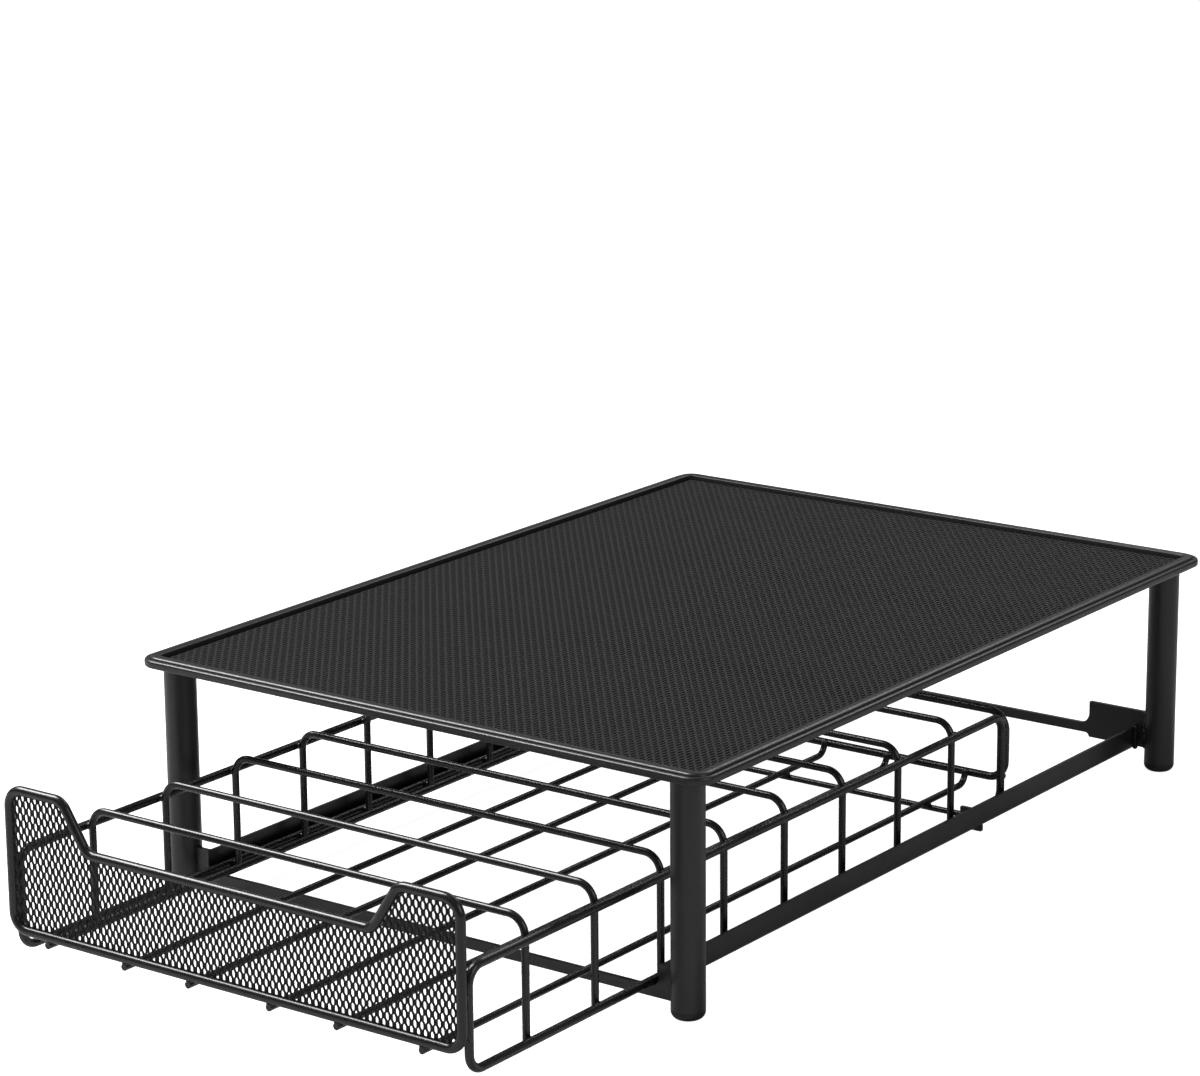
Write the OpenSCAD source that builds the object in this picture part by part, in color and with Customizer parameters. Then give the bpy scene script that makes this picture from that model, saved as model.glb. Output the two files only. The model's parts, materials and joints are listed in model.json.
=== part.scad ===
// Coffee pod drawer: a welded wire drawer on two rails under a low metal stand.
// Millimetres, Z up, the drawer pulls out towards -Y. The origin is on the floor, under the
// middle of the whole object as it stands here, with the drawer part of the way out.

/* [Top] */
// Width of the stand's top, left to right
plate_w = 282; // [250:1:330]
// Depth of the stand's top, front to back
plate_d = 392; // [340:1:450]
// Height from the floor to the top of the rim
stand_h = 100.2; // [92:0.1:140]
// Radius of the top's corners, seen from above
corner_r = 9; // [6:0.5:14]
// Height of the rim
rim_h = 4.3; // [4:0.1:6]
// Width of the round bead along the rim's outer edge
bead_d = 3.7; // [3:0.1:4]
// Radius of the rim's lower outer edge
skirt_r = 0.8; // [0.4:0.1:1.5]
// Width of the bead and the groove beside it
bead_w = 4.4; // [4.1:0.1:5]
// Depth of the groove below the top of the bead
groove_depth = 1.2; // [0.4:0.1:1.6]
// Width of the whole rim, from the outer edge to the sheet
rim_w = 8.8; // [7:0.1:14]
// Step from the top of the bead down to the flat band
band_drop = 0.3; // [0:0.1:0.8]
// Width of the ledge that carries the sheet
ledge_w = 4; // [2:0.5:8]
// Thickness of the sheet
sheet_t = 0.9; // [0.5:0.1:1.2]
// Step from the flat band down to the sheet
sheet_drop = 1.7; // [0.2:0.1:1.8]
// Width of each flat bar under the sheet
brace_w = 16; // [8:1:30]
// Distance between the two bars
brace_pitch = 130; // [60:1:200]
// Length of the short sides of the corner plates
gusset = 32; // [20:1:50]

/* [Legs and feet] */
// Diameter of the leg tubes
leg_d = 13.4; // [10:0.1:16]
// Wall of the leg tubes
leg_wall = 1.2; // [0.8:0.1:2]
// Centre of a leg from the side edge of the top
leg_inset_x = 14.2; // [12:0.1:18]
// Centre of a leg from the front or back edge of the top
leg_inset_y = 11.2; // [9:0.1:16]
// Height of the foot cap below the tube
foot_h = 4; // [3.5:0.5:8]
// Radius of the foot cap's lower edge
foot_r = 3; // [1:0.5:3.5]
// Length of the plug inside the tube
plug_len = 9; // [5:1:20]
// Height of the ribs round the plug
plug_rib = 0.5; // [0.2:0.1:0.8]

/* [Rails and crossbars] */
// Gap between a leg and the outside of the rail
rail_gap = 5.1; // [4:0.05:8]
// Thickness of the rails' sheet
rail_t = 1.2; // [0.8:0.1:1.6]
// Height of the rails
rail_h = 10.2; // [8:0.1:16]
// Underside of the rails above the floor
rail_z = 8.2; // [7:0.1:14]
// Width of the flange that the drawer runs on
flange_w = 8.5; // [7.8:0.1:9]
// Outer radius of the pressed bend in the rails
rail_bend = 2; // [1.7:0.1:3]
// Thickness of the crossbars
bar_t = 2; // [1.5:0.1:3]
// Height of the front crossbar between its end plates
front_bar_h = 4.2; // [3:0.1:6]
// End plates of the front crossbar above the top of the rails
front_plate_rise = 0.4; // [0:0.1:6]
// Fillet where the front crossbar meets its end plates
front_fillet = 4; // [1:0.5:4.5]
// Height of the rear crossbar between its end plates
rear_bar_h = 4.3; // [3:0.1:6]
// Lower edge of the rear crossbar above the rails' underside
rear_bar_up = 2.9; // [1.5:0.1:4]
// Width of the rear end plates, from the leg inwards
rear_plate_w = 29; // [20:0.1:40]
// Height of the rear end plates
rear_plate_h = 16.8; // [14:0.1:24]
// Lower edge of the rear end plates above the rails' underside
rear_plate_up = 1; // [0:0.1:1.4]
// Fillet where the rear crossbar meets its end plates
rear_fillet = 5; // [1:0.5:8]

/* [Drawer] */
// How far the drawer stands open
drawer_out = 106; // [0:1:330]
// Front of the shut drawer behind the front edge of the top
front_set_back = 1; // [0:0.5:8]
// Height of the side loops between wire centres
side_h = 39.65; // [30:0.05:50]
// Height of the front frame between wire centres, at its corners
panel_h = 56.85; // [44:0.05:60]
// Depth of the finger dip in the front frame
dip_depth = 19.2; // [12:0.1:26]
// Flat length of the front frame's top, from a corner to the dip
shoulder_w = 27.9; // [20:0.1:50]
// Sideways run of the dip's slopes
dip_run = 12.5; // [8:0.5:25]
// Height of the rear loop between wire centres
rear_loop_h = 30; // [20:0.5:36]
// Bottom wire of the rear loop above the rods
rear_loop_up = 4.2; // [3.6:0.1:8]
// Front hoop above the top wire of the side loops
hoop_rise = 7.4; // [3:0.1:12]
// How much lower the last hoop is than the first
hoop_fall = 2.2; // [0:0.1:4]
// Distance from the front frame to the first hoop
hoop_front_gap = 41.5; // [20:0.5:60]
// Distance from the last hoop to the rear loop
hoop_rear_gap = 39.15; // [36.5:0.05:60]
// Distance between the two rods of a lane
rod_gauge = 40; // [24:1:56]
// Length of the rods' upturned rear ends
rod_upturn = 5.7; // [5.2:0.1:9]
// Distance from the rear loop forward to the cross bar
cross_bar_in = 33.25; // [28:0.05:35]
// Distance from the rear loop forward to the stop tabs
tab_in = 23.75; // [12:0.05:26]

/* [Wire] */
// Wire of the front frame
panel_wire = 4; // [3:0.1:5]
// Wire of the side and rear loops
loop_wire = 3.5; // [3:0.1:4]
// Wire of the hoops
hoop_wire = 3; // [2:0.1:3.5]
// Wire of the lengthways rods
rod_wire = 2.8; // [2:0.1:3.5]
// Wire of the cross bar
cross_wire = 2.6; // [2:0.1:3.2]
// Bend radius of the front frame's corners, on the wire's centre
panel_bend = 7; // [4.5:0.5:12]
// Bend radius at the finger dip
dip_bend = 6.5; // [4.5:0.5:10]
// Bend radius of the side loops
side_bend = 7; // [3:0.5:12]
// Bend radius of the rear loop
rear_bend = 8; // [3:0.5:10]
// Bend radius of the hoops
hoop_bend = 7.5; // [3:0.5:14]
// Bend radius of the rods' rear ends
rod_bend = 5; // [3:0.5:5]

/* [Mesh] */
// Thickness of the expanded metal in the front frame
mesh_t = 1; // [0.6:0.1:1.6]
// Width of a diamond in the front frame, centre to centre
mesh_pitch_x = 6.4; // [5:0.1:12]
// Height of a diamond in the front frame, centre to centre
mesh_pitch_z = 10.8; // [8:0.1:20]
// Width of the strands in the front frame
strand = 1.1; // [0.6:0.1:1.6]
// Width of the solid edge round the mesh in the front frame
selvedge = 1.2; // [0.8:0.1:3]
// Width of a diamond in the top sheet, centre to centre
sheet_pitch_x = 22.8; // [20:0.1:40]
// Length of a diamond in the top sheet, centre to centre
sheet_pitch_y = 28.2; // [24:0.1:60]
// Width of the strands in the top sheet
sheet_strand = 5.2; // [3:0.1:8]
// Width of the solid edge round the top sheet
sheet_selvedge = 3; // [1:0.5:10]

/* [Stop tabs] */
// Thickness of the tabs
tab_t = 2; // [1.5:0.1:3]
// Width of a tab's neck
neck_w = 2.7; // [1.6:0.1:4]
// Height of a tab's foot
tab_foot_h = 2.7; // [1.5:0.1:3.5]
// Top of a tab above the centre of the side loop's bottom wire
tab_rise = 3.05; // [2:0.05:6]

/* [Fits] */
// Gap left at a weld between two pieces
weld = 0.05; // [0.02:0.01:0.1]
// Running gap between the drawer and what it slides on
run_gap = 0.3; // [0.2:0.05:0.5]
// Play of the drawer between the rails, each side
side_play = 1.65; // [1:0.05:2.5]
// Gap between the drawer and its rear stop when it is shut
stop_gap = 0.3; // [0.2:0.05:0.6]
// Gap round the sheet inside the rim
sheet_gap = 0.4; // [0.1:0.1:1]
// Gap between a plug's ribs and the tube
plug_gap = 0.05; // [0.02:0.01:0.2]

/* [Hidden] */
$fn = 48;
lanes = 3;
hoops = 8;
steel = "#1d1d1f";
wire_black = "#232325";
mesh_black = "#2a2a2c";
plastic = "#131314";

// Heights of the top, from the rim downwards
rim_under = stand_h - rim_h;
band_top = stand_h - band_drop;
sheet_top = band_top - sheet_drop;
sheet_under = sheet_top - sheet_t;
tray_t = sheet_under - rim_under;
tray_inset = rim_w + ledge_w + weld;
inner_r = 0.6;
clip = 2 * inner_r;

// Legs, rails and crossbars, from the middle of the stand
leg_x = plate_w / 2 - leg_inset_x;
leg_y = plate_d / 2 - leg_inset_y;
rail_x = leg_x - leg_d / 2 - rail_gap;
rail_in_x = rail_x - rail_t;
flange_in_x = rail_x - flange_w;
flange_top = rail_z + rail_t;
rail_top = rail_z + rail_h;
bar_face_y = leg_y - bar_t / 2;
front_bar_z = flange_top - front_bar_h;
rear_bar_z = rail_z + rear_bar_up;
rear_plate_z = rail_z + rear_plate_up;
rear_plate_x = leg_x - leg_d / 2 - rear_plate_w;

// Drawer, from the centre of the front frame's wire backwards
drawer_x = rail_in_x - side_play - loop_wire / 2;
drawer_len = plate_d / 2 - front_set_back + bar_face_y - stop_gap - loop_wire / 2;
side_z = flange_top + run_gap + loop_wire / 2;
side_top_z = side_z + side_h;
side_front_y = (panel_wire + loop_wire) / 2 + weld;
side_rear_y = drawer_len - loop_wire - weld;
cross_z = side_z + (loop_wire + cross_wire) / 2 + weld;
rod_z = cross_z + (cross_wire + rod_wire) / 2 + weld;
panel_z = rod_z + (rod_wire + panel_wire) / 2 + weld;
rear_z = rod_z + rear_loop_up;
rod_end_y = drawer_len - (loop_wire + rod_wire) / 2 - weld;
hoop_x = drawer_x - (loop_wire + hoop_wire) / 2 - weld;
hoop_pitch = (drawer_len - hoop_front_gap - hoop_rear_gap) / (hoops - 1);
lane_pitch = (2 * drawer_x - loop_wire) / lanes;
rod_overhang = 1;
hoop_tail = 1.25;
cross_overhang = 1.4;

// Stop tabs hook round the rails' flanges
neck_gap = 0.6;
neck_out_x = flange_in_x - neck_gap;
tab_in_x = neck_out_x - neck_w;
tab_out_x = drawer_x - loop_wire / 2 - weld;
tab_foot_top = rail_z - run_gap;
tab_arm_z = flange_top + 1.5 * run_gap;

// The stand and the drawer in the frame of the whole object
whole_d = plate_d - front_set_back + drawer_out + panel_wire / 2;
stand_y = (whole_d - plate_d) / 2;
drawer_y = panel_wire / 2 - whole_d / 2;

// ---- Flat paths and bent wire ----

function unit(v) = v / norm(v);
function heading(v) = atan2(v[1], v[0]);
function left_of(v) = [-v[1], v[0]] / norm(v);
function bend_at(bend, i) = is_list(bend) ? bend[i] : bend;

// Turn of a path at q, on the way from p to s, positive to the left
function turn(p, q, s) = atan2((q - p)[0] * (s - q)[1] - (q - p)[1] * (s - q)[0], (q - p) * (s - q));

// Length that a bend takes from each of the two straights beside it
function tangent_len(p, q, s, r) = r * tan(abs(turn(p, q, s)) / 2);

// Closed anticlockwise path moved inwards by g
function inset_corner(p, q, s, g) = let(a = left_of(q - p), b = left_of(s - q)) q + g * (a + b) / (1 + a * b);
function inset_path(path, g) =
  let(n = len(path))
  [for (i = [0 : n - 1]) inset_corner(path[(i + n - 1) % n], path[i], path[(i + 1) % n], g)];

// Points of the arc that rounds the corner q
function arc_points(p, q, s, r, steps) =
  let(t = turn(p, q, s), side = sign(t), a = heading(q - p))
  let(start = q - unit(q - p) * tangent_len(p, q, s, r), centre = start + r * side * [-sin(a), cos(a)])
  [for (k = [0 : steps]) let(h = a + t * k / steps) centre + r * side * [sin(h), -cos(h)]];

// Closed path with every corner rounded by its own radius
function rounded_path(path, radii, steps) =
  let(n = len(path))
  [for (i = [0 : n - 1])
    each arc_points(path[(i + n - 1) % n], path[i], path[(i + 1) % n], radii[i], steps)];

// One swept bend of a wire
module elbow(p, q, s, r, d) {
  a = heading(q - p);
  t = turn(p, q, s);
  start = q - unit(q - p) * tangent_len(p, q, s, r);
  centre = start + r * sign(t) * [-sin(a), cos(a)];
  translate([centre[0], centre[1], 0])
    rotate([0, 0, t > 0 ? a - 90 : a + 90 + t])
      rotate_extrude(angle = abs(t))
        translate([r, 0])
          circle(d = d);
}

// One straight of a wire, from p to q, cut back at both ends
module straight(p, q, cut_p, cut_q, d) {
  start = p + unit(q - p) * cut_p;
  translate([start[0], start[1], 0])
    rotate([0, 0, heading(q - p)])
      rotate([0, 90, 0])
        cylinder(d = d, h = norm(q - p) - cut_p - cut_q);
}

// Round wire bent along a flat path in the XY plane. Where a bend isn't square, its elbow is a
// hair thicker than the straights, which run a little way into it.
module bent_wire(path, bend, d, closed = false, swell = 0) {
  n = len(path);
  run_in = swell > 0 ? 0.2 : 0;
  for (i = [0 : closed ? n - 1 : n - 2]) {
    p = path[i];
    q = path[(i + 1) % n];
    bent_p = closed || i > 0;
    bent_q = closed || i < n - 2;
    cut_p = bent_p ? tangent_len(path[(i + n - 1) % n], p, q, bend_at(bend, i)) - run_in : 0;
    cut_q = bent_q ? tangent_len(p, q, path[(i + 2) % n], bend_at(bend, (i + 1) % n)) - run_in : 0;
    straight(p, q, cut_p, cut_q, d);
  }
  for (i = [closed ? 0 : 1 : closed ? n - 1 : n - 2])
    elbow(path[(i + n - 1) % n], path[i], path[(i + 1) % n], bend_at(bend, i), d + 2 * swell);
}

// Stand a flat drawing up: across the object, or along it
module across() {
  rotate([90, 0, 0]) children();
}
module along() {
  rotate([90, 0, 90]) children();
}

// Places: the middle of the stand, and the front frame of the drawer
module on_stand() {
  translate([0, stand_y, 0]) children();
}
module on_drawer(y = 0) {
  translate([0, drawer_y + y, 0]) children();
}

// Right side as drawn, left side mirrored
module sided(side) {
  if (side < 0)
    mirror([1, 0, 0]) children();
  else
    children();
}

// ---- Top ----

module rounded_rect(w, d, r) {
  square([w - 2 * r, d], center = true);
  square([w, d - 2 * r], center = true);
  for (x = [-1, 1], y = [-1, 1])
    translate([x * (w / 2 - r), y * (d / 2 - r)])
      circle(r = r);
}

// Sweep a profile round a rectangle with round corners; x = 0 is the outer edge
module round_the_rim(w, d, r) {
  for (i = [0 : 3]) {
    half = i % 2 == 0 ? w / 2 : d / 2;
    other = i % 2 == 0 ? d / 2 : w / 2;
    rotate([0, 0, 90 * i]) {
      translate([half, other - r, 0])
        rotate([90, 0, 0])
          linear_extrude(2 * (other - r))
            children();
      translate([half - r, other - r, 0])
        rotate_extrude(angle = 90)
          translate([r, 0])
            children();
    }
  }
}

// Round bead over the rim's upright face, and the floor of the groove inside it
module bead_profile() {
  translate([-bead_d / 2, stand_h - bead_d / 2])
    circle(d = bead_d);
  translate([-bead_w, rim_under])
    square([bead_w - bead_d / 2, rim_h - groove_depth]);
  translate([-bead_d / 2, rim_under + skirt_r])
    square([bead_d / 2, rim_h - bead_d / 2 - skirt_r]);
  translate([-bead_d / 2, rim_under])
    square([bead_d / 2 - skirt_r, skirt_r]);
  translate([-skirt_r, rim_under + skirt_r])
    circle(r = skirt_r);
}

// Flat ring between two insets from the outer edge
module ring(inset_a, inset_b, z_a, z_b) {
  translate([0, 0, z_a])
    linear_extrude(z_b - z_a)
      difference() {
        rounded_rect(plate_w - 2 * inset_a, plate_d - 2 * inset_a, max(corner_r - inset_a, inner_r));
        rounded_rect(plate_w - 2 * inset_b, plate_d - 2 * inset_b, max(corner_r - inset_b, inner_r));
      }
}

module top_frame() {
  color(steel)
    on_stand() {
      round_the_rim(plate_w, plate_d, corner_r)
        bead_profile();
      ring(bead_w, rim_w, rim_under, band_top);
      ring(rim_w, rim_w + ledge_w, rim_under, sheet_under);
    }
}

// Staggered diamonds, each the cell of the mesh less half a strand all round, with a strand's
// crossing at the origin
module diamonds(pitch, strand_w, cols, rows) {
  shrink = 1 - strand_w * norm(pitch) / (pitch[0] * pitch[1]);
  for (row = [-rows : rows], col = [-cols : cols])
    translate([(col + (abs(row) + 1) % 2 / 2) * pitch[0], row * pitch[1] / 2])
      polygon([for (a = [0 : 90 : 270]) shrink / 2 * [pitch[0] * cos(a), pitch[1] * sin(a)]]);
}

// Sheet of expanded metal with a plain edge
module top_mesh() {
  inset = rim_w + sheet_gap;
  w = plate_w - 2 * inset;
  d = plate_d - 2 * inset;
  pitch = [sheet_pitch_x, sheet_pitch_y];
  color(mesh_black)
    on_stand()
      translate([0, 0, sheet_under])
        linear_extrude(sheet_t)
          difference() {
            rounded_rect(w, d, max(corner_r - inset, inner_r));
            intersection() {
              square([w - 2 * sheet_selvedge, d - 2 * sheet_selvedge], center = true);
              diamonds(pitch, sheet_strand, ceil(w / 2 / pitch[0]), ceil(d / pitch[1]));
            }
          }
}

module top_brace(side) {
  length = plate_w - 2 * tray_inset;
  color(steel)
    on_stand()
      translate([-length / 2, side * brace_pitch / 2 - brace_w / 2, rim_under])
        cube([length, brace_w, tray_t]);
}

// Gusset in a corner of the ledge, over the leg, with its square corner clipped
module corner_plate(side_x, side_y) {
  x = plate_w / 2 - tray_inset;
  y = plate_d / 2 - tray_inset;
  color(steel)
    on_stand()
      translate([0, 0, rim_under])
        linear_extrude(tray_t)
          polygon([for (p = [[x - gusset, y], [x, y - gusset], [x, y - clip], [x - clip, y]])
            [side_x * p[0], side_y * p[1]]]);
}

// ---- Legs and feet ----

module at_leg(side_x, side_y) {
  on_stand()
    translate([side_x * leg_x, side_y * leg_y, 0])
      children();
}

module leg(side_x, side_y) {
  color(steel)
    at_leg(side_x, side_y)
      translate([0, 0, foot_h])
        difference() {
          cylinder(d = leg_d, h = rim_under - foot_h);
          translate([0, 0, -1])
            cylinder(d = leg_d - 2 * leg_wall, h = rim_under - foot_h + 2);
        }
}

// Half section of the plug-in cap: rounded below, ribbed inside the tube
module foot_profile() {
  rib_r = leg_d / 2 - leg_wall - plug_gap;
  ribs = 3;
  rib_pitch = plug_len / ribs;
  square([leg_d / 2 - foot_r, foot_h]);
  translate([0, foot_r])
    square([leg_d / 2, foot_h - foot_r]);
  translate([leg_d / 2 - foot_r, foot_r])
    intersection() {
      circle(r = foot_r);
      translate([0, -foot_r])
        square(foot_r);
    }
  translate([0, foot_h])
    square([rib_r - plug_rib, plug_len]);
  for (i = [0 : ribs - 1])
    translate([0, foot_h + (i + 0.5) * rib_pitch])
      square([rib_r, rib_pitch / 3]);
}

module foot(side_x, side_y) {
  color(plastic)
    at_leg(side_x, side_y)
      rotate_extrude()
        foot_profile();
}

// ---- Rails and crossbars ----

module rail_section() {
  translate([rail_in_x, rail_z + rail_bend])
    square([rail_t, rail_h - rail_bend]);
  translate([flange_in_x, rail_z])
    square([flange_w - rail_bend, rail_t]);
  translate([rail_x - rail_bend, rail_z + rail_bend])
    intersection() {
      difference() {
        circle(r = rail_bend);
        circle(r = rail_bend - rail_t);
      }
      translate([0, -rail_bend])
        square(rail_bend);
    }
}

module rail(side) {
  half = bar_face_y - weld;
  color(steel)
    on_stand()
      sided(side)
        translate([0, half, 0])
          across()
            linear_extrude(2 * half)
              rail_section();
}

// Hollow fillet that fills the corner at the origin, up and to the left
module hollow_fillet(r) {
  difference() {
    translate([-r, 0])
      square(r);
    translate([-r, r])
      circle(r = r);
  }
}

module front_bar_outline() {
  translate([-leg_x, front_bar_z])
    square([2 * leg_x, front_bar_h]);
  for (side = [-1, 1])
    sided(side) {
      translate([rail_in_x, front_bar_z])
        square([leg_x - rail_in_x, rail_top + front_plate_rise - front_bar_z]);
      translate([rail_in_x, flange_top])
        hollow_fillet(front_fillet);
    }
}

module rear_bar_outline() {
  translate([-leg_x, rear_bar_z])
    square([2 * leg_x, rear_bar_h]);
  for (side = [-1, 1])
    sided(side) {
      translate([rear_plate_x, rear_plate_z])
        square([leg_x - rear_plate_x, rear_plate_h]);
      translate([rear_plate_x, rear_bar_z + rear_bar_h])
        hollow_fillet(rear_fillet);
      translate([rear_plate_x, rear_bar_z])
        mirror([0, 1])
          hollow_fillet(rear_bar_z - rear_plate_z);
    }
}

// Strip stood up between two legs, with its ends shaped to the tubes
module crossbar(side_y) {
  color(steel)
    on_stand()
      difference() {
        translate([0, side_y * leg_y + bar_t / 2, 0])
          across()
            linear_extrude(bar_t)
              children();
        for (x = [-leg_x, leg_x])
          translate([x, side_y * leg_y, 0])
            cylinder(d = leg_d + 2 * weld, h = rim_under);
      }
}

module front_crossbar() {
  crossbar(-1) front_bar_outline();
}

module rear_crossbar() {
  crossbar(1) rear_bar_outline();
}

// ---- Drawer: front ----

panel_path = [
  [-drawer_x, panel_z],
  [drawer_x, panel_z],
  [drawer_x, panel_z + panel_h],
  [drawer_x - shoulder_w, panel_z + panel_h],
  [drawer_x - shoulder_w - dip_run, panel_z + panel_h - dip_depth],
  [-(drawer_x - shoulder_w - dip_run), panel_z + panel_h - dip_depth],
  [-(drawer_x - shoulder_w), panel_z + panel_h],
  [-drawer_x, panel_z + panel_h]
];
panel_bends = [panel_bend, panel_bend, panel_bend, dip_bend, dip_bend, dip_bend, dip_bend, panel_bend];

// Bends of the path moved inwards by g: outward corners tighten, the dip's corners open
function inset_bends(g) =
  let(n = len(panel_path))
  [for (i = [0 : n - 1])
    let(t = turn(panel_path[(i + n - 1) % n], panel_path[i], panel_path[(i + 1) % n]))
    max(panel_bends[i] - sign(t) * g, 0.2)];

module inside_panel(g) {
  corner_steps = 6;
  polygon(rounded_path(inset_path(panel_path, g), inset_bends(g), corner_steps));
}

module front_frame() {
  color(wire_black)
    on_drawer()
      across()
        bent_wire(panel_path, panel_bends, panel_wire, closed = true, swell = 0.01);
}

module front_mesh() {
  edge = panel_wire / 2 + weld;
  pitch = [mesh_pitch_x, mesh_pitch_z];
  color(mesh_black)
    on_drawer(mesh_t / 2)
      across()
        linear_extrude(mesh_t)
          difference() {
            inside_panel(edge);
            intersection() {
              inside_panel(edge + selvedge);
              translate([0, panel_z + panel_h / 2])
                diamonds(pitch, strand, ceil(drawer_x / pitch[0]), ceil(panel_h / pitch[1]));
            }
          }
}

// ---- Drawer: loops, hoops and rods ----

module side_loop(side) {
  path = [[side_front_y, side_z], [side_rear_y, side_z], [side_rear_y, side_top_z], [side_front_y, side_top_z]];
  color(wire_black)
    on_drawer()
      translate([side * drawer_x, 0, 0])
        along()
          bent_wire(path, side_bend, loop_wire, closed = true);
}

module rear_loop() {
  top = rear_z + rear_loop_h;
  color(wire_black)
    on_drawer(drawer_len)
      across()
        bent_wire([[-drawer_x, rear_z], [drawer_x, rear_z], [drawer_x, top], [-drawer_x, top]],
          rear_bend, loop_wire, closed = true);
}

module hoop(number) {
  top = side_top_z + hoop_rise - hoop_fall * (number - 1) / (hoops - 1);
  foot = side_z - hoop_tail;
  color(wire_black)
    on_drawer(hoop_front_gap + (number - 1) * hoop_pitch)
      across()
        bent_wire([[-hoop_x, foot], [-hoop_x, top], [hoop_x, top], [hoop_x, foot]], hoop_bend, hoop_wire);
}

// Rods lie in pairs, one pair to a lane, and turn up in front of the rear loop
module rod(number) {
  lane = floor((number - 1) / 2) - (lanes - 1) / 2;
  side = (number - 1) % 2 * 2 - 1;
  color(wire_black)
    on_drawer()
      translate([lane * lane_pitch + side * rod_gauge / 2, 0, 0])
        along()
          bent_wire([[-rod_overhang, rod_z], [rod_end_y, rod_z], [rod_end_y, rod_z + rod_upturn]], rod_bend, rod_wire);
}

module cross_bar() {
  length = 2 * (drawer_x + cross_overhang);
  color(wire_black)
    on_drawer(drawer_len - cross_bar_in)
      translate([-length / 2, 0, cross_z])
        rotate([0, 90, 0])
          cylinder(d = cross_wire, h = length);
}

// Hook from the side loop's bottom wire, round the rail's flange and under it
module tab_outline() {
  foot_out_x = rail_in_x - run_gap;
  foot_z = tab_foot_top - tab_foot_h;
  tab_top = side_z + tab_rise;
  translate([tab_in_x, foot_z])
    square([neck_w, tab_top - foot_z]);
  translate([tab_in_x, foot_z])
    square([foot_out_x - tab_in_x, tab_foot_h]);
  translate([tab_in_x, tab_arm_z])
    square([tab_out_x - tab_in_x, tab_top - tab_arm_z]);
}

module stop_tab(side) {
  color(steel)
    on_drawer(drawer_len - tab_in + tab_t / 2)
      sided(side)
        across()
          linear_extrude(tab_t)
            tab_outline();
}

top_frame();
top_mesh();
top_brace(-1);  // top_brace_front
top_brace(1);  // top_brace_rear
corner_plate(-1, -1);  // corner_plate_front_left
corner_plate(1, -1);  // corner_plate_front_right
corner_plate(-1, 1);  // corner_plate_rear_left
corner_plate(1, 1);  // corner_plate_rear_right
leg(-1, -1);  // leg_front_left
leg(1, -1);  // leg_front_right
leg(-1, 1);  // leg_rear_left
leg(1, 1);  // leg_rear_right
foot(-1, -1);  // foot_front_left
foot(1, -1);  // foot_front_right
foot(-1, 1);  // foot_rear_left
foot(1, 1);  // foot_rear_right
rail(-1);  // rail_left
rail(1);  // rail_right
front_crossbar();
rear_crossbar();
front_frame();
front_mesh();
side_loop(-1);  // side_loop_left
side_loop(1);  // side_loop_right
rear_loop();
hoop(1);  // hoop_1
hoop(2);  // hoop_2
hoop(3);  // hoop_3
hoop(4);  // hoop_4
hoop(5);  // hoop_5
hoop(6);  // hoop_6
hoop(7);  // hoop_7
hoop(8);  // hoop_8
rod(1);  // rod_1
rod(2);  // rod_2
rod(3);  // rod_3
rod(4);  // rod_4
rod(5);  // rod_5
rod(6);  // rod_6
cross_bar();
stop_tab(-1);  // stop_tab_left
stop_tab(1);  // stop_tab_right
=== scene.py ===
import bmesh
import bpy
import json
import math
from mathutils import Matrix, Vector


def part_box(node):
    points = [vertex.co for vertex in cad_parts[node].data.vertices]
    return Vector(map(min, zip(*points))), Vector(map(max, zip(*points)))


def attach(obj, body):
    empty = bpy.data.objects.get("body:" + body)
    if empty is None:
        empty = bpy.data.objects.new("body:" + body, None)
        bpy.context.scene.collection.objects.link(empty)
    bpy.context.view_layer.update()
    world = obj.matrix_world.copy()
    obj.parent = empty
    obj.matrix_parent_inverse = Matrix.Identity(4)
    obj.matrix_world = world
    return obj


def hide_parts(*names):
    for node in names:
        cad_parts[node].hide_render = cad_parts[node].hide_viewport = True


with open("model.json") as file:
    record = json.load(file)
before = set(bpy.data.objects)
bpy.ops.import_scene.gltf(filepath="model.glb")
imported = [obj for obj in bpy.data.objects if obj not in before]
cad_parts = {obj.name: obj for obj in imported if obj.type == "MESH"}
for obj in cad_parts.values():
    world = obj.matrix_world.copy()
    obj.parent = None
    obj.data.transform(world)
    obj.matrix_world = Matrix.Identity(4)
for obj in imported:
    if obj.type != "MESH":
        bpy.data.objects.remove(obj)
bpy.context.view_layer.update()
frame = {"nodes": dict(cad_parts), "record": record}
nodes = frame["nodes"]
scene = bpy.context.scene
mm = 0.001


# Camera: a long lens from the front right, a little above the top

camera = {
    "position": (0.9189, -1.2588, 0.5453),
    "yaw": 36.415,         # degrees to the left of straight back
    "pitch": 14.57,        # degrees downwards
    "roll": 0.465,         # degrees, the picture's right end low
    "focalPixels": 3895.5,
    "photoWidth": 1200.0,
    "sensor": 36.0,
    "clip": (0.05, 40),    # m, nearest and farthest that it sees
}


def makeCamera():
    yaw, pitch, roll = (math.radians(camera[k]) for k in ("yaw", "pitch", "roll"))
    flat = math.cos(pitch)   # how much of the aim is level
    forward = Vector((-math.sin(yaw) * flat, math.cos(yaw) * flat, -math.sin(pitch)))
    level = Vector((math.cos(yaw), math.sin(yaw), 0))
    down = forward.cross(level)
    right = math.cos(roll) * level + math.sin(roll) * down
    below = math.cos(roll) * down - math.sin(roll) * level
    turn = Matrix((right, -below, -forward)).transposed().to_4x4()
    lens = bpy.data.cameras.new("photoCamera")
    lens.sensor_width = camera["sensor"]
    lens.lens = camera["focalPixels"] / camera["photoWidth"] * camera["sensor"]
    lens.clip_start, lens.clip_end = camera["clip"]
    body = bpy.data.objects.new("photoCamera", lens)
    body.matrix_world = Matrix.Translation(camera["position"]) @ turn
    scene.collection.objects.link(body)
    scene.camera = body


makeCamera()
print("camera set")


# Colours and nodes

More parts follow.
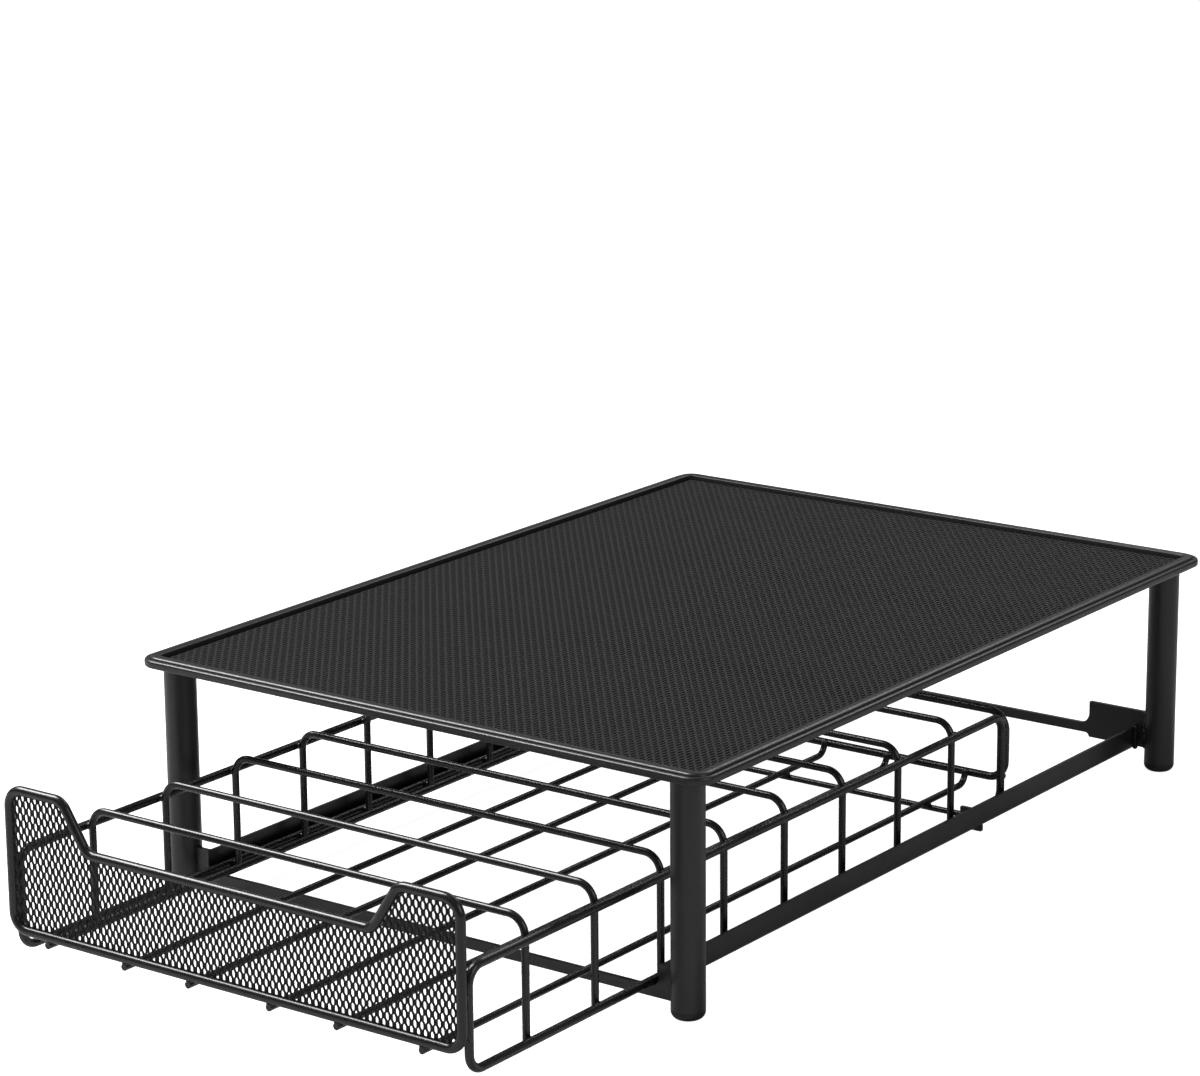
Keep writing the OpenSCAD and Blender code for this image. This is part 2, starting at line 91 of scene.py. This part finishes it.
def linear(hexColour):
    values = [int(hexColour[i:i + 2], 16) / 255 for i in (1, 3, 5)]
    return [v / 12.92 if v <= 0.04045 else ((v + 0.055) / 1.055) ** 2.4 for v in values] + [1.0]


def addNode(tree, kind, settings=None, links=None):
    # Settings name a property of the node, or an input by its name or number;
    # links join outputs to inputs
    node = tree.nodes.new(kind)
    for name, value in (settings or {}).items():
        if isinstance(name, str) and hasattr(node, name):
            setattr(node, name, value)
        else:
            node.inputs[name].default_value = value
    for name, source in (links or {}).items():
        tree.links.new(source, node.inputs[name])
    return node


def newMaterial(name):
    material = bpy.data.materials.new(name)
    material.use_nodes = True
    tree = material.node_tree
    tree.nodes.clear()
    return material, tree


def paint(obj, material):
    obj.data.materials.clear()
    obj.data.materials.append(material)


# Powder coat on tube and strip: a thick baked skin, faintly pebbled, satin, so its edges catch
# soft broad highlights
tubeCoat = {
    "colour": "#1b1b1d",
    "ior": 1.5,
    "shine": 0.5,          # strength of the mirror part
    "roughness": 0.34,
    "smoother": 0.04,      # how far the roughness drops in the hollows of the peel
    "rougher": 0.05,       # and how far it rises on the crests
    "pebble": 1.6,         # mm, width of the orange peel
    "pebbleDepth": 0.015,  # mm
    "pebbleDetail": 1.5,   # finer waves on the peel
    "grit": 0.4,           # mm, the fine texture on top of it
    "gritDepth": 0.005,    # mm
    "gritDetail": 2.0,
}
# On bright drawn wire the same coat flows out smoother, so each wire carries a narrow bright line
wireCoat = dict(tubeCoat, colour="#141416", roughness=0.27, pebble=1.1, pebbleDepth=0.004,
                gritDepth=0.002)
# On expanded metal it is matt and uneven over the cut edges, so dark strands show small glints
meshCoat = dict(tubeCoat, colour="#19191b", roughness=0.5, shine=0.34, pebble=0.8,
                pebbleDepth=0.010)
# Moulded polyethylene of the end caps: waxy, with a soft wide sheen instead of a highlight
footPlastic = dict(tubeCoat, colour="#151516", roughness=0.46, shine=0.4, pebble=0.6,
                   pebbleDepth=0.006)


def makeSkin(name, look):
    material, tree = newMaterial(name)
    where = addNode(tree, "ShaderNodeTexCoord")
    pebble = addNode(tree, "ShaderNodeTexNoise",
                     {"Scale": 1 / (look["pebble"] * mm), "Detail": look["pebbleDetail"]},
                     {"Vector": where.outputs["Object"]})
    grit = addNode(tree, "ShaderNodeTexNoise",
                   {"Scale": 1 / (look["grit"] * mm), "Detail": look["gritDetail"]},
                   {"Vector": where.outputs["Object"]})
    peel = addNode(tree, "ShaderNodeBump", {"Distance": look["pebbleDepth"] * mm, "Strength": 1.0},
                   {"Height": pebble.outputs["Fac"]})
    skin = addNode(tree, "ShaderNodeBump", {"Distance": look["gritDepth"] * mm, "Strength": 1.0},
                   {"Height": grit.outputs["Fac"], "Normal": peel.outputs["Normal"]})
    noiseLow, noiseHigh = 0.3, 0.7   # the noise seldom leaves this range
    sheen = addNode(tree, "ShaderNodeMapRange",
                    {"From Min": noiseLow, "From Max": noiseHigh,
                     "To Min": look["roughness"] - look["smoother"],
                     "To Max": look["roughness"] + look["rougher"]},
                    {"Value": pebble.outputs["Fac"]})
    shader = addNode(tree, "ShaderNodeBsdfPrincipled",
                     {"Base Color": linear(look["colour"]), "IOR": look["ior"],
                      "Specular IOR Level": look["shine"]},
                     {"Normal": skin.outputs["Normal"], "Roughness": sheen.outputs["Result"]})
    addNode(tree, "ShaderNodeOutputMaterial", None, {"Surface": shader.outputs["BSDF"]})
    return material


coats = {
    "coated_steel": makeSkin("satinPowderCoatOnTube", tubeCoat),
    "coated_wire": makeSkin("satinPowderCoatOnWire", wireCoat),
    "coated_mesh": makeSkin("mattPowderCoatOnMesh", meshCoat),
    "foot_plastic": makeSkin("mouldedPolyethylene", footPlastic),
}
for subpart in frame["record"]["subparts"]:
    paint(nodes[subpart["node"]], coats[subpart["material_slot"]])
print("nodes painted")


# Shapes made by node trees

def newTree(name, inputs):
    # A tree for a modifier, with a mesh going in and out and the named inputs between
    tree = bpy.data.node_groups.new(name, "GeometryNodeTree")
    tree.interface.new_socket("Geometry", in_out="INPUT", socket_type="NodeSocketGeometry")
    tree.interface.new_socket("Geometry", in_out="OUTPUT", socket_type="NodeSocketGeometry")
    for title, kind in inputs.items():
        tree.interface.new_socket(title, in_out="INPUT", socket_type="NodeSocket" + kind)
    return tree, addNode(tree, "NodeGroupInput").outputs


def finishTree(tree, given, shape):
    solid = addNode(tree, "GeometryNodeRealizeInstances", None, {"Geometry": shape})
    shaded = addNode(tree, "GeometryNodeSetShadeSmooth", {"Shade Smooth": True},
                     {"Geometry": solid.outputs[0]})
    painted = addNode(tree, "GeometryNodeSetMaterial", None,
                      {"Geometry": shaded.outputs[0], "Material": given["Material"]})
    addNode(tree, "NodeGroupOutput", None, {"Geometry": painted.outputs[0]})


def growMesh(name, seed, tree, values):
    # Runs the tree on a seed mesh and keeps the result as a plain mesh at the origin
    holder = bpy.data.objects.new(name + "Seed", seed)
    scene.collection.objects.link(holder)
    modifier = holder.modifiers.new(name, "NODES")
    modifier.node_group = tree
    for item in tree.interface.items_tree:
        if item.in_out == "INPUT" and item.name in values:
            modifier[item.identifier] = values[item.name]
    bpy.context.view_layer.update()
    shown = holder.evaluated_get(bpy.context.evaluated_depsgraph_get())
    mesh = bpy.data.meshes.new_from_object(shown)
    mesh.name = name
    bpy.data.objects.remove(holder)
    piece = bpy.data.objects.new(name, mesh)
    scene.collection.objects.link(piece)
    return piece


# Expanded metal: slit and stretched sheet, so each strand weaves left and right and meets its
# neighbours at the bonds, and stands a little on edge, which gives every diamond one bright and
# one dark side. Each row is one sum of the pattern: its name, what is done, and to which values.

expandedSums = [
    ("halfAcross", "MULTIPLY", "Pitch Across", 0.5),
    ("quarterAcross", "MULTIPLY", "halfAcross", 0.5),
    ("halfAlong", "MULTIPLY", "Pitch Along", 0.5),
    ("halfStrand", "MULTIPLY", "Strand Width", 0.5),

    # A strand has two points at each bond, and some bonds to spare, as it starts before the sheet
    ("length", "SUBTRACT", "back", "front"),
    ("bondsThatFit", "DIVIDE", "length", "halfAlong"),
    ("bondsWhole", "CEIL", "bondsThatFit"),
    ("bonds", "ADD", "bondsWhole", 3),
    ("points", "MULTIPLY", "bonds", 2),
    ("halfIndex", "DIVIDE", "index", 2),
    ("bond", "FLOOR", "halfIndex"),
    ("odd", "MODULO", "index", 2),

    # It swings to one side at even bonds and to the other at odd ones, until the edges touch
    ("oddBond", "MODULO", "bond", 2),
    ("oddBondTwice", "MULTIPLY", "oddBond", 2),
    ("side", "SUBTRACT", "oddBondTwice", 1),
    ("cosine", "COSINE", "Tilt"),
    ("strandShare", "MULTIPLY", "halfStrand", "cosine"),
    ("swing", "SUBTRACT", "quarterAcross", "strandShare"),
    ("weaveX", "MULTIPLY", "side", "swing"),
    ("bondStart", "MULTIPLY", "bond", "halfAlong"),
    ("pointEnd", "SUBTRACT", "odd", 0.5),
    ("pointShift", "MULTIPLY", "pointEnd", "Bond Length"),
    ("weaveY", "ADD", "bondStart", "pointShift"),
    ("sine", "SINE", "Tilt"),
    ("lift", "MULTIPLY", "halfStrand", "sine"),
    ("weaveZ", "MULTIPLY", "side", "lift"),

    # The strands lie side by side, every other one set back by half a diamond
    ("width", "SUBTRACT", "right", "left"),
    ("strandsThatFit", "DIVIDE", "width", "halfAcross"),
    ("strandsWhole", "CEIL", "strandsThatFit"),
    ("strands", "ADD", "strandsWhole", 1),
    ("leftAndRight", "ADD", "right", "left"),
    ("middle", "MULTIPLY", "leftAndRight", 0.5),
    ("steps", "SUBTRACT", "strands", 1),
    ("halfRow", "MULTIPLY", "steps", "quarterAcross"),
    ("first", "SUBTRACT", "middle", "halfRow"),
    ("stepped", "MULTIPLY", "index", "halfAcross"),
    ("rowX", "ADD", "first", "stepped"),
    ("oddAndHalf", "ADD", "odd", 0.5),
    ("setBack", "MULTIPLY", "oddAndHalf", "halfAlong"),
    ("rowY", "SUBTRACT", "front", "setBack"),

    # Strands to the left or right of the strip are left out
    ("before", "LESS_THAN", "across", "Strip From"),
    ("notAfter", "LESS_THAN", "across", "Strip To"),
    ("after", "SUBTRACT", 1, "notAfter"),
    ("beyond", "ADD", "before", "after"),
]


def makeExpandedTree():
    tree, given = newTree("expandedMetal", {
        "Pitch Across": "Float", "Pitch Along": "Float", "Strand Width": "Float",
        "Thickness": "Float", "Bond Length": "Float", "Tilt": "Float", "Strip From": "Float",
        "Strip To": "Float", "Material": "Material"})
    sheet = addNode(tree, "GeometryNodeBoundBox", None, {"Geometry": given["Geometry"]})
    low = addNode(tree, "ShaderNodeSeparateXYZ", None, {0: sheet.outputs["Min"]})
    high = addNode(tree, "ShaderNodeSeparateXYZ", None, {0: sheet.outputs["Max"]})
    index = addNode(tree, "GeometryNodeInputIndex")
    position = addNode(tree, "GeometryNodeInputPosition").outputs[0]
    across = addNode(tree, "ShaderNodeSeparateXYZ", None, {0: position})
    value = dict(given.items())   # every number of the pattern, by its name
    value.update(left=low.outputs[0], right=high.outputs[0], front=low.outputs[1],
                 back=high.outputs[1], index=index.outputs[0], across=across.outputs[0])
    for name, operation, *terms in expandedSums:
        numbers = {i: term for i, term in enumerate(terms) if not isinstance(term, str)}
        sources = {i: value[term] for i, term in enumerate(terms) if isinstance(term, str)}
        result = addNode(tree, "ShaderNodeMath", {"operation": operation, **numbers}, sources)
        value[name] = result.outputs[0]

    # One weaving strand
    weave = addNode(tree, "ShaderNodeCombineXYZ", None,
                    {"X": value["weaveX"], "Y": value["weaveY"], "Z": value["weaveZ"]})
    line = addNode(tree, "GeometryNodeMeshLine", None, {"Count": value["points"]})
    strand = addNode(tree, "GeometryNodeSetPosition", None,
                     {"Geometry": line.outputs[0], "Position": weave.outputs[0]})

    # The row of them
    place = addNode(tree, "ShaderNodeCombineXYZ", None,
                    {"X": value["rowX"], "Y": value["rowY"], "Z": low.outputs[2]})
    row = addNode(tree, "GeometryNodeMeshLine", None, {"Count": value["strands"]})
    starts = addNode(tree, "GeometryNodeSetPosition", None,
                     {"Geometry": row.outputs[0], "Position": place.outputs[0]})
    strip = addNode(tree, "GeometryNodeDeleteGeometry", {"domain": "POINT"},
                    {"Geometry": starts.outputs[0], "Selection": value["beyond"]})
    strands = addNode(tree, "GeometryNodeInstanceOnPoints", None,
                      {"Points": strip.outputs[0], "Instance": strand.outputs[0]})
    lines = addNode(tree, "GeometryNodeRealizeInstances", None, {"Geometry": strands.outputs[0]})

    # Cut to the sheet's outline by a ray straight down from over each point, then made solid
    rise = 0.01   # m, where the rays start above the sheet
    above = addNode(tree, "ShaderNodeVectorMath", {"operation": "ADD", 1: (0, 0, rise)},
                    {0: position})
    over = addNode(tree, "GeometryNodeRaycast",
                   {"Ray Direction": (0, 0, -1), "Ray Length": 2 * rise},
                   {"Target Geometry": given["Geometry"], "Source Position": above.outputs[0]})
    outside = addNode(tree, "FunctionNodeBooleanMath", {"operation": "NOT"},
                      {0: over.outputs["Is Hit"]})
    kept = addNode(tree, "GeometryNodeDeleteGeometry", {"domain": "POINT"},
                   {"Geometry": lines.outputs[0], "Selection": outside.outputs[0]})
    curves = addNode(tree, "GeometryNodeMeshToCurve", None, {"Mesh": kept.outputs[0]})
    level = addNode(tree, "GeometryNodeSetCurveNormal", {"mode": "Z_UP"},
                    {"Curve": curves.outputs[0]})
    turned = addNode(tree, "GeometryNodeSetCurveTilt", None,
                     {"Curve": level.outputs[0], "Tilt": given["Tilt"]})
    section = addNode(tree, "GeometryNodeCurvePrimitiveQuadrilateral", None,
                      {"Width": given["Strand Width"], "Height": given["Thickness"]})
    solid = addNode(tree, "GeometryNodeCurveToMesh", {"Fill Caps": True},
                    {"Curve": turned.outputs[0], "Profile Curve": section.outputs[0]})
    finishTree(tree, given, solid.outputs[0])
    return tree


expandedTree = makeExpandedTree()


def growExpanded(name, outline, look, stripFrom, stripTo):
    # Expanded metal inside the flat outline, only its strands that start between the two X values
    sheet = bpy.data.meshes.new(name + "Sheet")
    sheet.from_pydata([(x, y, 0) for x, y in outline], [], [list(range(len(outline)))])
    sheet.update()
    return growMesh(name, sheet, expandedTree, {
        "Pitch Across": look["pitchAcross"] * mm, "Pitch Along": look["pitchAlong"] * mm,
        "Strand Width": look["strand"] * mm, "Thickness": look["thickness"] * mm,
        "Bond Length": look["bond"] * mm, "Tilt": math.radians(look["tilt"]),
        "Strip From": stripFrom, "Strip To": stripTo, "Material": coats["coated_mesh"]})


def roundCorners(points, radius, steps=5):
    # The closed outline with each corner turned on an arc
    rounded = []
    for i, corner in enumerate(points):
        here, before = Vector(corner), Vector(points[i - 1])
        after = Vector(points[(i + 1) % len(points)])
        inward, outward = (before - here).normalized(), (after - here).normalized()
        half = inward.angle(outward) / 2
        reach = radius / math.tan(half)
        centre = here + (inward + outward).normalized() * radius / math.sin(half)
        start = here + inward * reach - centre
        finish = here + outward * reach - centre
        for step in range(steps + 1):
            spoke = start.lerp(finish, step / steps).normalized() * radius
            rounded.append(tuple(centre + spoke))
    return rounded


def moveMesh(piece, move):
    piece.data.transform(move)
    piece.data.update()


# Front panel of the drawer, inside the wire of its frame

frontMesh = {
    "pitchAcross": 3.2,   # mm, from diamond to diamond across the drawer
    "pitchAlong": 5.4,    # mm, upwards
    "strand": 0.75,       # mm
    "thickness": 0.6,     # mm
    "bond": 1.8,          # mm, where two strands run side by side
    "tilt": 22.0,         # degrees that the strands stand on edge
    "tuck": 1.0,          # mm past the wire's centre line that the cut ends reach
    "shoulder": 27.9,     # mm, flat of each shoulder, from the side wire's centre line
    "slope": 12.5,        # mm, run of the slope down to the dip
    "dip": 19.2,          # mm
    "corner": 7.0,        # mm, bend of the wire at the corners and in the dip
}


def makeFrontMesh():
    look = frontMesh
    low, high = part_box("front_frame")
    wire = high.y - low.y
    side = (high.x - wire / 2) + look["tuck"] * mm
    base = (low.z + wire / 2) - look["tuck"] * mm
    top = (high.z - wire / 2) + look["tuck"] * mm
    dip = top - look["dip"] * mm
    shoulder = side - look["shoulder"] * mm
    valley = shoulder - look["slope"] * mm
    outline = [(-side, base), (side, base), (side, top), (shoulder, top), (valley, dip),
               (-valley, dip), (-shoulder, top), (-side, top)]
    outline = roundCorners(outline, look["corner"] * mm)
    piece = growExpanded("front_expanded_metal", outline, look, -side, side)
    upright = Matrix.Rotation(math.radians(90), 4, "X")
    moveMesh(piece, Matrix.Translation((0, (low.y + high.y) / 2, 0)) @ upright)
    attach(piece, "drawer")
    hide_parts("front_mesh")
    print("front mesh:", len(piece.data.polygons), "faces")


makeFrontMesh()


# Rim: a low outer bead, a crease, a higher crown, and inside it the ledge for the sheet

rim = {
    "width": 6.8,         # mm, from the outer edge to the wall beside the sheet
    "lip": 0.8,           # mm, radius of the lower edge
    "beadWide": 1.1,      # mm, from the outer edge to the bead's crest
    "beadHigh": 1.2,      # mm, from the upright face to the bead's crest
    "beadDrop": 0.95,     # mm that the bead stays below the crown
    "crease": 2.3,        # mm, from the outer edge
    "creaseDrop": 1.25,   # mm below the crown
    "shoulder": 1.6,      # mm, run of the curve from the crease to the crown
    "fall": 0.3,          # mm, fall of the crown towards the wall
    "innerEdge": 0.3,     # mm, radius over the wall
    "ledge": 12.8,        # mm, inner edge of the ledge, from the outer edge
    "corner": 9.0,        # mm, radius of the top's corners
    "innerCorner": 0.6,   # mm, least radius inside them
    "gap": 0.4,           # mm, between the wall and the sheet
    "curveStep": 15,      # degrees from point to point on the section's curves
    "cornerStep": 10,     # degrees from section to section round a corner
    "sharp": 40,          # degrees between two faces from which their edge is shaded sharp
}


def rimSection(top, under, shelf):
    # Distances from the outer edge and heights, in mm, starting at the lower outer edge
    look = rim
    arc = [math.radians(a) for a in range(0, 91, look["curveStep"])]
    lip, bead, crease = look["lip"], look["beadWide"], look["crease"]
    run, edge, wall = look["shoulder"], look["innerEdge"], look["width"]
    beadTop, crown = top - look["beadDrop"], crease + run
    dent = look["creaseDrop"] - look["beadDrop"]
    points = [(lip * (1 - math.sin(a)), under + lip * (1 - math.cos(a))) for a in arc]
    points += [(bead * (1 - math.cos(a)), beadTop - look["beadHigh"] * (1 - math.sin(a)))
               for a in arc]
    points += [(bead + (crease - bead) * share, beadTop - dent * share ** 2)
               for share in (0.25, 0.5, 0.75, 1.0)]
    points += [(crease + run * (1 - math.cos(a)), top - look["creaseDrop"] * (1 - math.sin(a)))
               for a in arc[1:]]
    points += [(crown + (wall - edge - crown) * share, top - look["fall"] * share ** 2)
               for share in (0.2, 0.4, 0.6, 0.8, 1.0)]
    points += [(wall - edge * (1 - math.sin(a)), top - look["fall"] - edge * (1 - math.cos(a)))
               for a in arc[2::2]]
    return points + [(wall, shelf), (look["ledge"], shelf), (look["ledge"], under)]


def makeRim():
    low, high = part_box("top_frame")
    halfWide, halfDeep = (high.x - low.x) / 2 / mm, (high.y - low.y) / 2 / mm
    section = rimSection(high.z / mm, low.z / mm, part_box("top_mesh")[0].z / mm)
    points = []
    for quarter, (signX, signY) in enumerate(((1, 1), (-1, 1), (-1, -1), (1, -1))):
        for degrees in range(0, 91, rim["cornerStep"]):
            turn = math.radians(90 * quarter + degrees)
            for inset, height in section:
                radius = max(rim["corner"] - inset, rim["innerCorner"])
                x = signX * (halfWide - inset - radius) + radius * math.cos(turn)
                y = signY * (halfDeep - inset - radius) + radius * math.sin(turn)
                points.append((x * mm, y * mm + (low.y + high.y) / 2, height * mm))
    across, around = len(section), len(points) // len(section)
    faces = [(i * across + j, (i + 1) % around * across + j,
              (i + 1) % around * across + (j + 1) % across, i * across + (j + 1) % across)
             for i in range(around) for j in range(across)]
    mesh = bpy.data.meshes.new("rolled_rim")
    mesh.from_pydata(points, [], faces)
    work = bmesh.new()
    work.from_mesh(mesh)
    bmesh.ops.recalc_face_normals(work, faces=work.faces)
    work.to_mesh(mesh)
    work.free()
    mesh.shade_smooth()
    mesh.set_sharp_from_angle(angle=math.radians(rim["sharp"]))
    piece = bpy.data.objects.new("rolled_rim", mesh)
    scene.collection.objects.link(piece)
    paint(piece, coats["coated_steel"])
    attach(piece, "stand")
    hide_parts("top_frame")
    print("rim:", len(mesh.polygons), "faces")


makeRim()


# Top sheet, on the rim's ledge: two pieces on one pattern, so that no line shows between them

topMesh = {
    "pitchAcross": 3.8,   # mm
    "pitchAlong": 4.7,    # mm, front to back
    "strand": 0.95,       # mm
    "thickness": 0.7,     # mm
    "bond": 1.2,          # mm
    "tilt": 12.0,         # degrees
}


def makeTopMesh():
    low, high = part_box("top_mesh")
    rimLow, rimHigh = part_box("top_frame")
    inset = (rim["width"] + rim["gap"]) * mm
    left, right = rimLow.x + inset, rimHigh.x - inset
    front, back = rimLow.y + inset, rimHigh.y - inset
    corners = [(left, front), (right, front), (right, back), (left, back)]
    outline = roundCorners(corners, rim["corner"] * mm - inset)
    for name, stripFrom, stripTo in (("left", left, 0.0), ("right", 0.0, right)):
        piece = growExpanded("top_expanded_metal_" + name, outline, topMesh, stripFrom, stripTo)
        moveMesh(piece, Matrix.Translation((0, 0, (low.z + high.z) / 2)))
        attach(piece, "stand")
        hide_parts("top_mesh")
        print("top mesh:", len(piece.data.polygons), "faces")


makeTopMesh()


# Welds: a small bead where two wires cross, and seams of beads on the stand, under the same coat

weldBeads = {
    "radius": 1.45,        # mm, beads of the drawer
    "uneven": 0.12,        # how far one bead may differ from the next
    "aboveBottom": 12.0,   # mm over a side loop's lower wire, on the frame and the rear loop
    "belowTop": 10.0,      # mm under its upper wire, on the same two
    "seamRadius": 1.1,     # mm, beads of the seams on the stand
    "seamStep": 1.3,       # mm, from bead to bead along a seam
}
hoopCount, rodCount = 8, 6   # wires of the drawer


def makeBeadTree():
    tree, given = newTree("weldBeads", {
        "Radius": "Float", "Uneven": "Float", "Material": "Material"})
    bead = addNode(tree, "GeometryNodeMeshIcoSphere", {"Subdivisions": 3},
                   {"Radius": given["Radius"]})
    least = addNode(tree, "ShaderNodeMath", {"operation": "SUBTRACT", 0: 1}, {1: given["Uneven"]})
    most = addNode(tree, "ShaderNodeMath", {"operation": "ADD", 0: 1}, {1: given["Uneven"]})
    size = addNode(tree, "FunctionNodeRandomValue", {"data_type": "FLOAT", "Seed": 0},
                   {2: least.outputs[0], 3: most.outputs[0]})   # the range of a single number
    beads = addNode(tree, "GeometryNodeInstanceOnPoints", None,
                    {"Points": given["Geometry"], "Instance": bead.outputs[0],
                     "Scale": size.outputs[1]})
    finishTree(tree, given, beads.outputs[0])
    return tree


beadTree = makeBeadTree()


def makeBeads(name, body, slot, spots, radius):
    seed = bpy.data.meshes.new(name)
    seed.from_pydata(spots, [], [])
    piece = growMesh(name, seed, beadTree, {
        "Radius": radius * mm, "Uneven": weldBeads["uneven"], "Material": coats[slot]})
    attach(piece, body)
    print(name + ":", len(spots), "beads")


def drawerWelds():
    spots = []
    frameLow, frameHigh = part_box("front_frame")
    rearLow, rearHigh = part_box("rear_loop")
    barLow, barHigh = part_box("cross_bar")
    barY = (barLow.y + barHigh.y) / 2
    for side in ("left", "right"):
        low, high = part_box("side_loop_" + side)
        middle = (low.x + high.x) / 2
        inner = min(low.x, high.x, key=abs)
        half = (high.x - low.x) / 2
        bottom, top = low.z + half, high.z - half
        for number in range(1, hoopCount + 1):
            hoopLow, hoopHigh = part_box("hoop_%d" % number)
            spots += [(inner, (hoopLow.y + hoopHigh.y) / 2, z) for z in (bottom, top)]
        for y in (frameHigh.y, rearLow.y):
            spots += [(middle, y, bottom + weldBeads["aboveBottom"] * mm),
                      (middle, y, top - weldBeads["belowTop"] * mm)]
        tabLow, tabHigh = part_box("stop_tab_" + side)
        spots.append((inner, (tabLow.y + tabHigh.y) / 2, bottom))
        spots.append((middle, barY, barLow.z))
    for number in range(1, rodCount + 1):
        low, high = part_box("rod_%d" % number)
        middle = (low.x + high.x) / 2
        wire = high.x - low.x
        spots += [(middle, barY, barHigh.z),
                  (middle, (frameLow.y + frameHigh.y) / 2, low.z + wire),
                  (middle, rearLow.y, rearLow.z + (rearHigh.y - rearLow.y) / 2)]
    return spots


def standWelds():
    # Upright seams on the hidden faces, where the crossbars meet the legs and the rails
    spots = []
    for end in ("front", "rear"):
        barLow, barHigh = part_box(end + "_crossbar")
        behind = barHigh.y if end == "front" else barLow.y
        for side in ("left", "right"):
            legLow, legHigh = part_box("leg_%s_%s" % (end, side))
            railLow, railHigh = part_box("rail_" + side)
            legX = min(legLow.x, legHigh.x, key=abs)
            railX = max(railLow.x, railHigh.x, key=abs)
            railTop = min(railHigh.z, barHigh.z)
            for x, low, high in ((legX, barLow.z, barHigh.z), (railX, railLow.z, railTop)):
                count = int((high - low) / mm / weldBeads["seamStep"])
                spots += [(x, behind, low + (i + 0.5) * (high - low) / count)
                          for i in range(count)]
    return spots


makeBeads("drawer_welds", "drawer", "coated_wire", drawerWelds(), weldBeads["radius"])
makeBeads("stand_welds", "stand", "coated_steel", standWelds(), weldBeads["seamRadius"])


# Plain studio

studio = {
    "floor": "#c4c4c4",     # what the object sees of the floor
    "floorLift": 0.92,      # added where the floor itself is seen, so that it comes out white
    "floorReach": 12,       # m, from the middle to each side
    "room": 0.20,           # light from all round
}
lamps = {   # places and sizes in m, power in W
    "keyLamp": {"place": (-0.95, -0.32, 1.30), "target": (0, -0.1, 0.08),
                "size": (0.6, 0.9), "power": 38.0},
    "fillLamp": {"place": (1.7, -0.2, 1.0), "target": (0, 0, 0.05),
                 "size": (0.9, 0.9), "power": 7.0},
    "backLamp": {"place": (-0.1, 1.5, 1.3), "target": (0, 0, 0.08),
                 "size": (1.2, 0.4), "power": 6.5},
}
white = (1, 1, 1, 1)


def seenItself(tree):
    # 1 where the surface itself is seen, straight or through glass; the coat mirrors the plain
    # room instead, because a white one would grey it
    path = addNode(tree, "ShaderNodeLightPath")
    seen = addNode(tree, "ShaderNodeMath", {"operation": "MAXIMUM"},
                   {0: path.outputs["Is Camera Ray"], 1: path.outputs["Is Transmission Ray"]})
    return seen.outputs[0]


def makeFloor():
    mesh = bpy.data.meshes.new("floor")
    far = studio["floorReach"]
    corners = [(-far, -far, 0), (far, -far, 0), (far, far, 0), (-far, far, 0)]
    mesh.from_pydata(corners, [], [(0, 1, 2, 3)])
    floor = bpy.data.objects.new("floor", mesh)
    scene.collection.objects.link(floor)
    material, tree = newMaterial("paleFloor")
    lift = addNode(tree, "ShaderNodeMath", {"operation": "MULTIPLY", 1: studio["floorLift"]},
                   {0: seenItself(tree)})
    glow = addNode(tree, "ShaderNodeEmission", {"Color": white}, {"Strength": lift.outputs[0]})
    plain = addNode(tree, "ShaderNodeBsdfDiffuse", {"Color": linear(studio["floor"])})
    both = addNode(tree, "ShaderNodeAddShader", None, {0: plain.outputs[0], 1: glow.outputs[0]})
    addNode(tree, "ShaderNodeOutputMaterial", None, {"Surface": both.outputs[0]})
    paint(floor, material)


def makeWorld():
    world = bpy.data.worlds.new("studioWorld")
    world.use_nodes = True
    tree = world.node_tree
    tree.nodes.clear()
    strength = addNode(tree, "ShaderNodeMapRange", {"To Min": studio["room"], "To Max": 1.0},
                       {"Value": seenItself(tree)})
    glow = addNode(tree, "ShaderNodeBackground", {"Color": white},
                   {"Strength": strength.outputs["Result"]})
    addNode(tree, "ShaderNodeOutputWorld", None, {"Surface": glow.outputs["Background"]})
    scene.world = world


def makeLamp(name, place, target, size, power):
    lamp = bpy.data.lights.new(name, "AREA")
    lamp.shape = "RECTANGLE"
    lamp.size, lamp.size_y = size
    lamp.energy = power
    body = bpy.data.objects.new(name, lamp)
    aim = (Vector(target) - Vector(place)).to_track_quat("-Z", "Y")
    body.matrix_world = Matrix.Translation(place) @ aim.to_matrix().to_4x4()
    scene.collection.objects.link(body)


makeFloor()
makeWorld()
for name, settings in lamps.items():
    makeLamp(name, **settings)
scene.view_settings.view_transform = "Standard"
print("studio set")
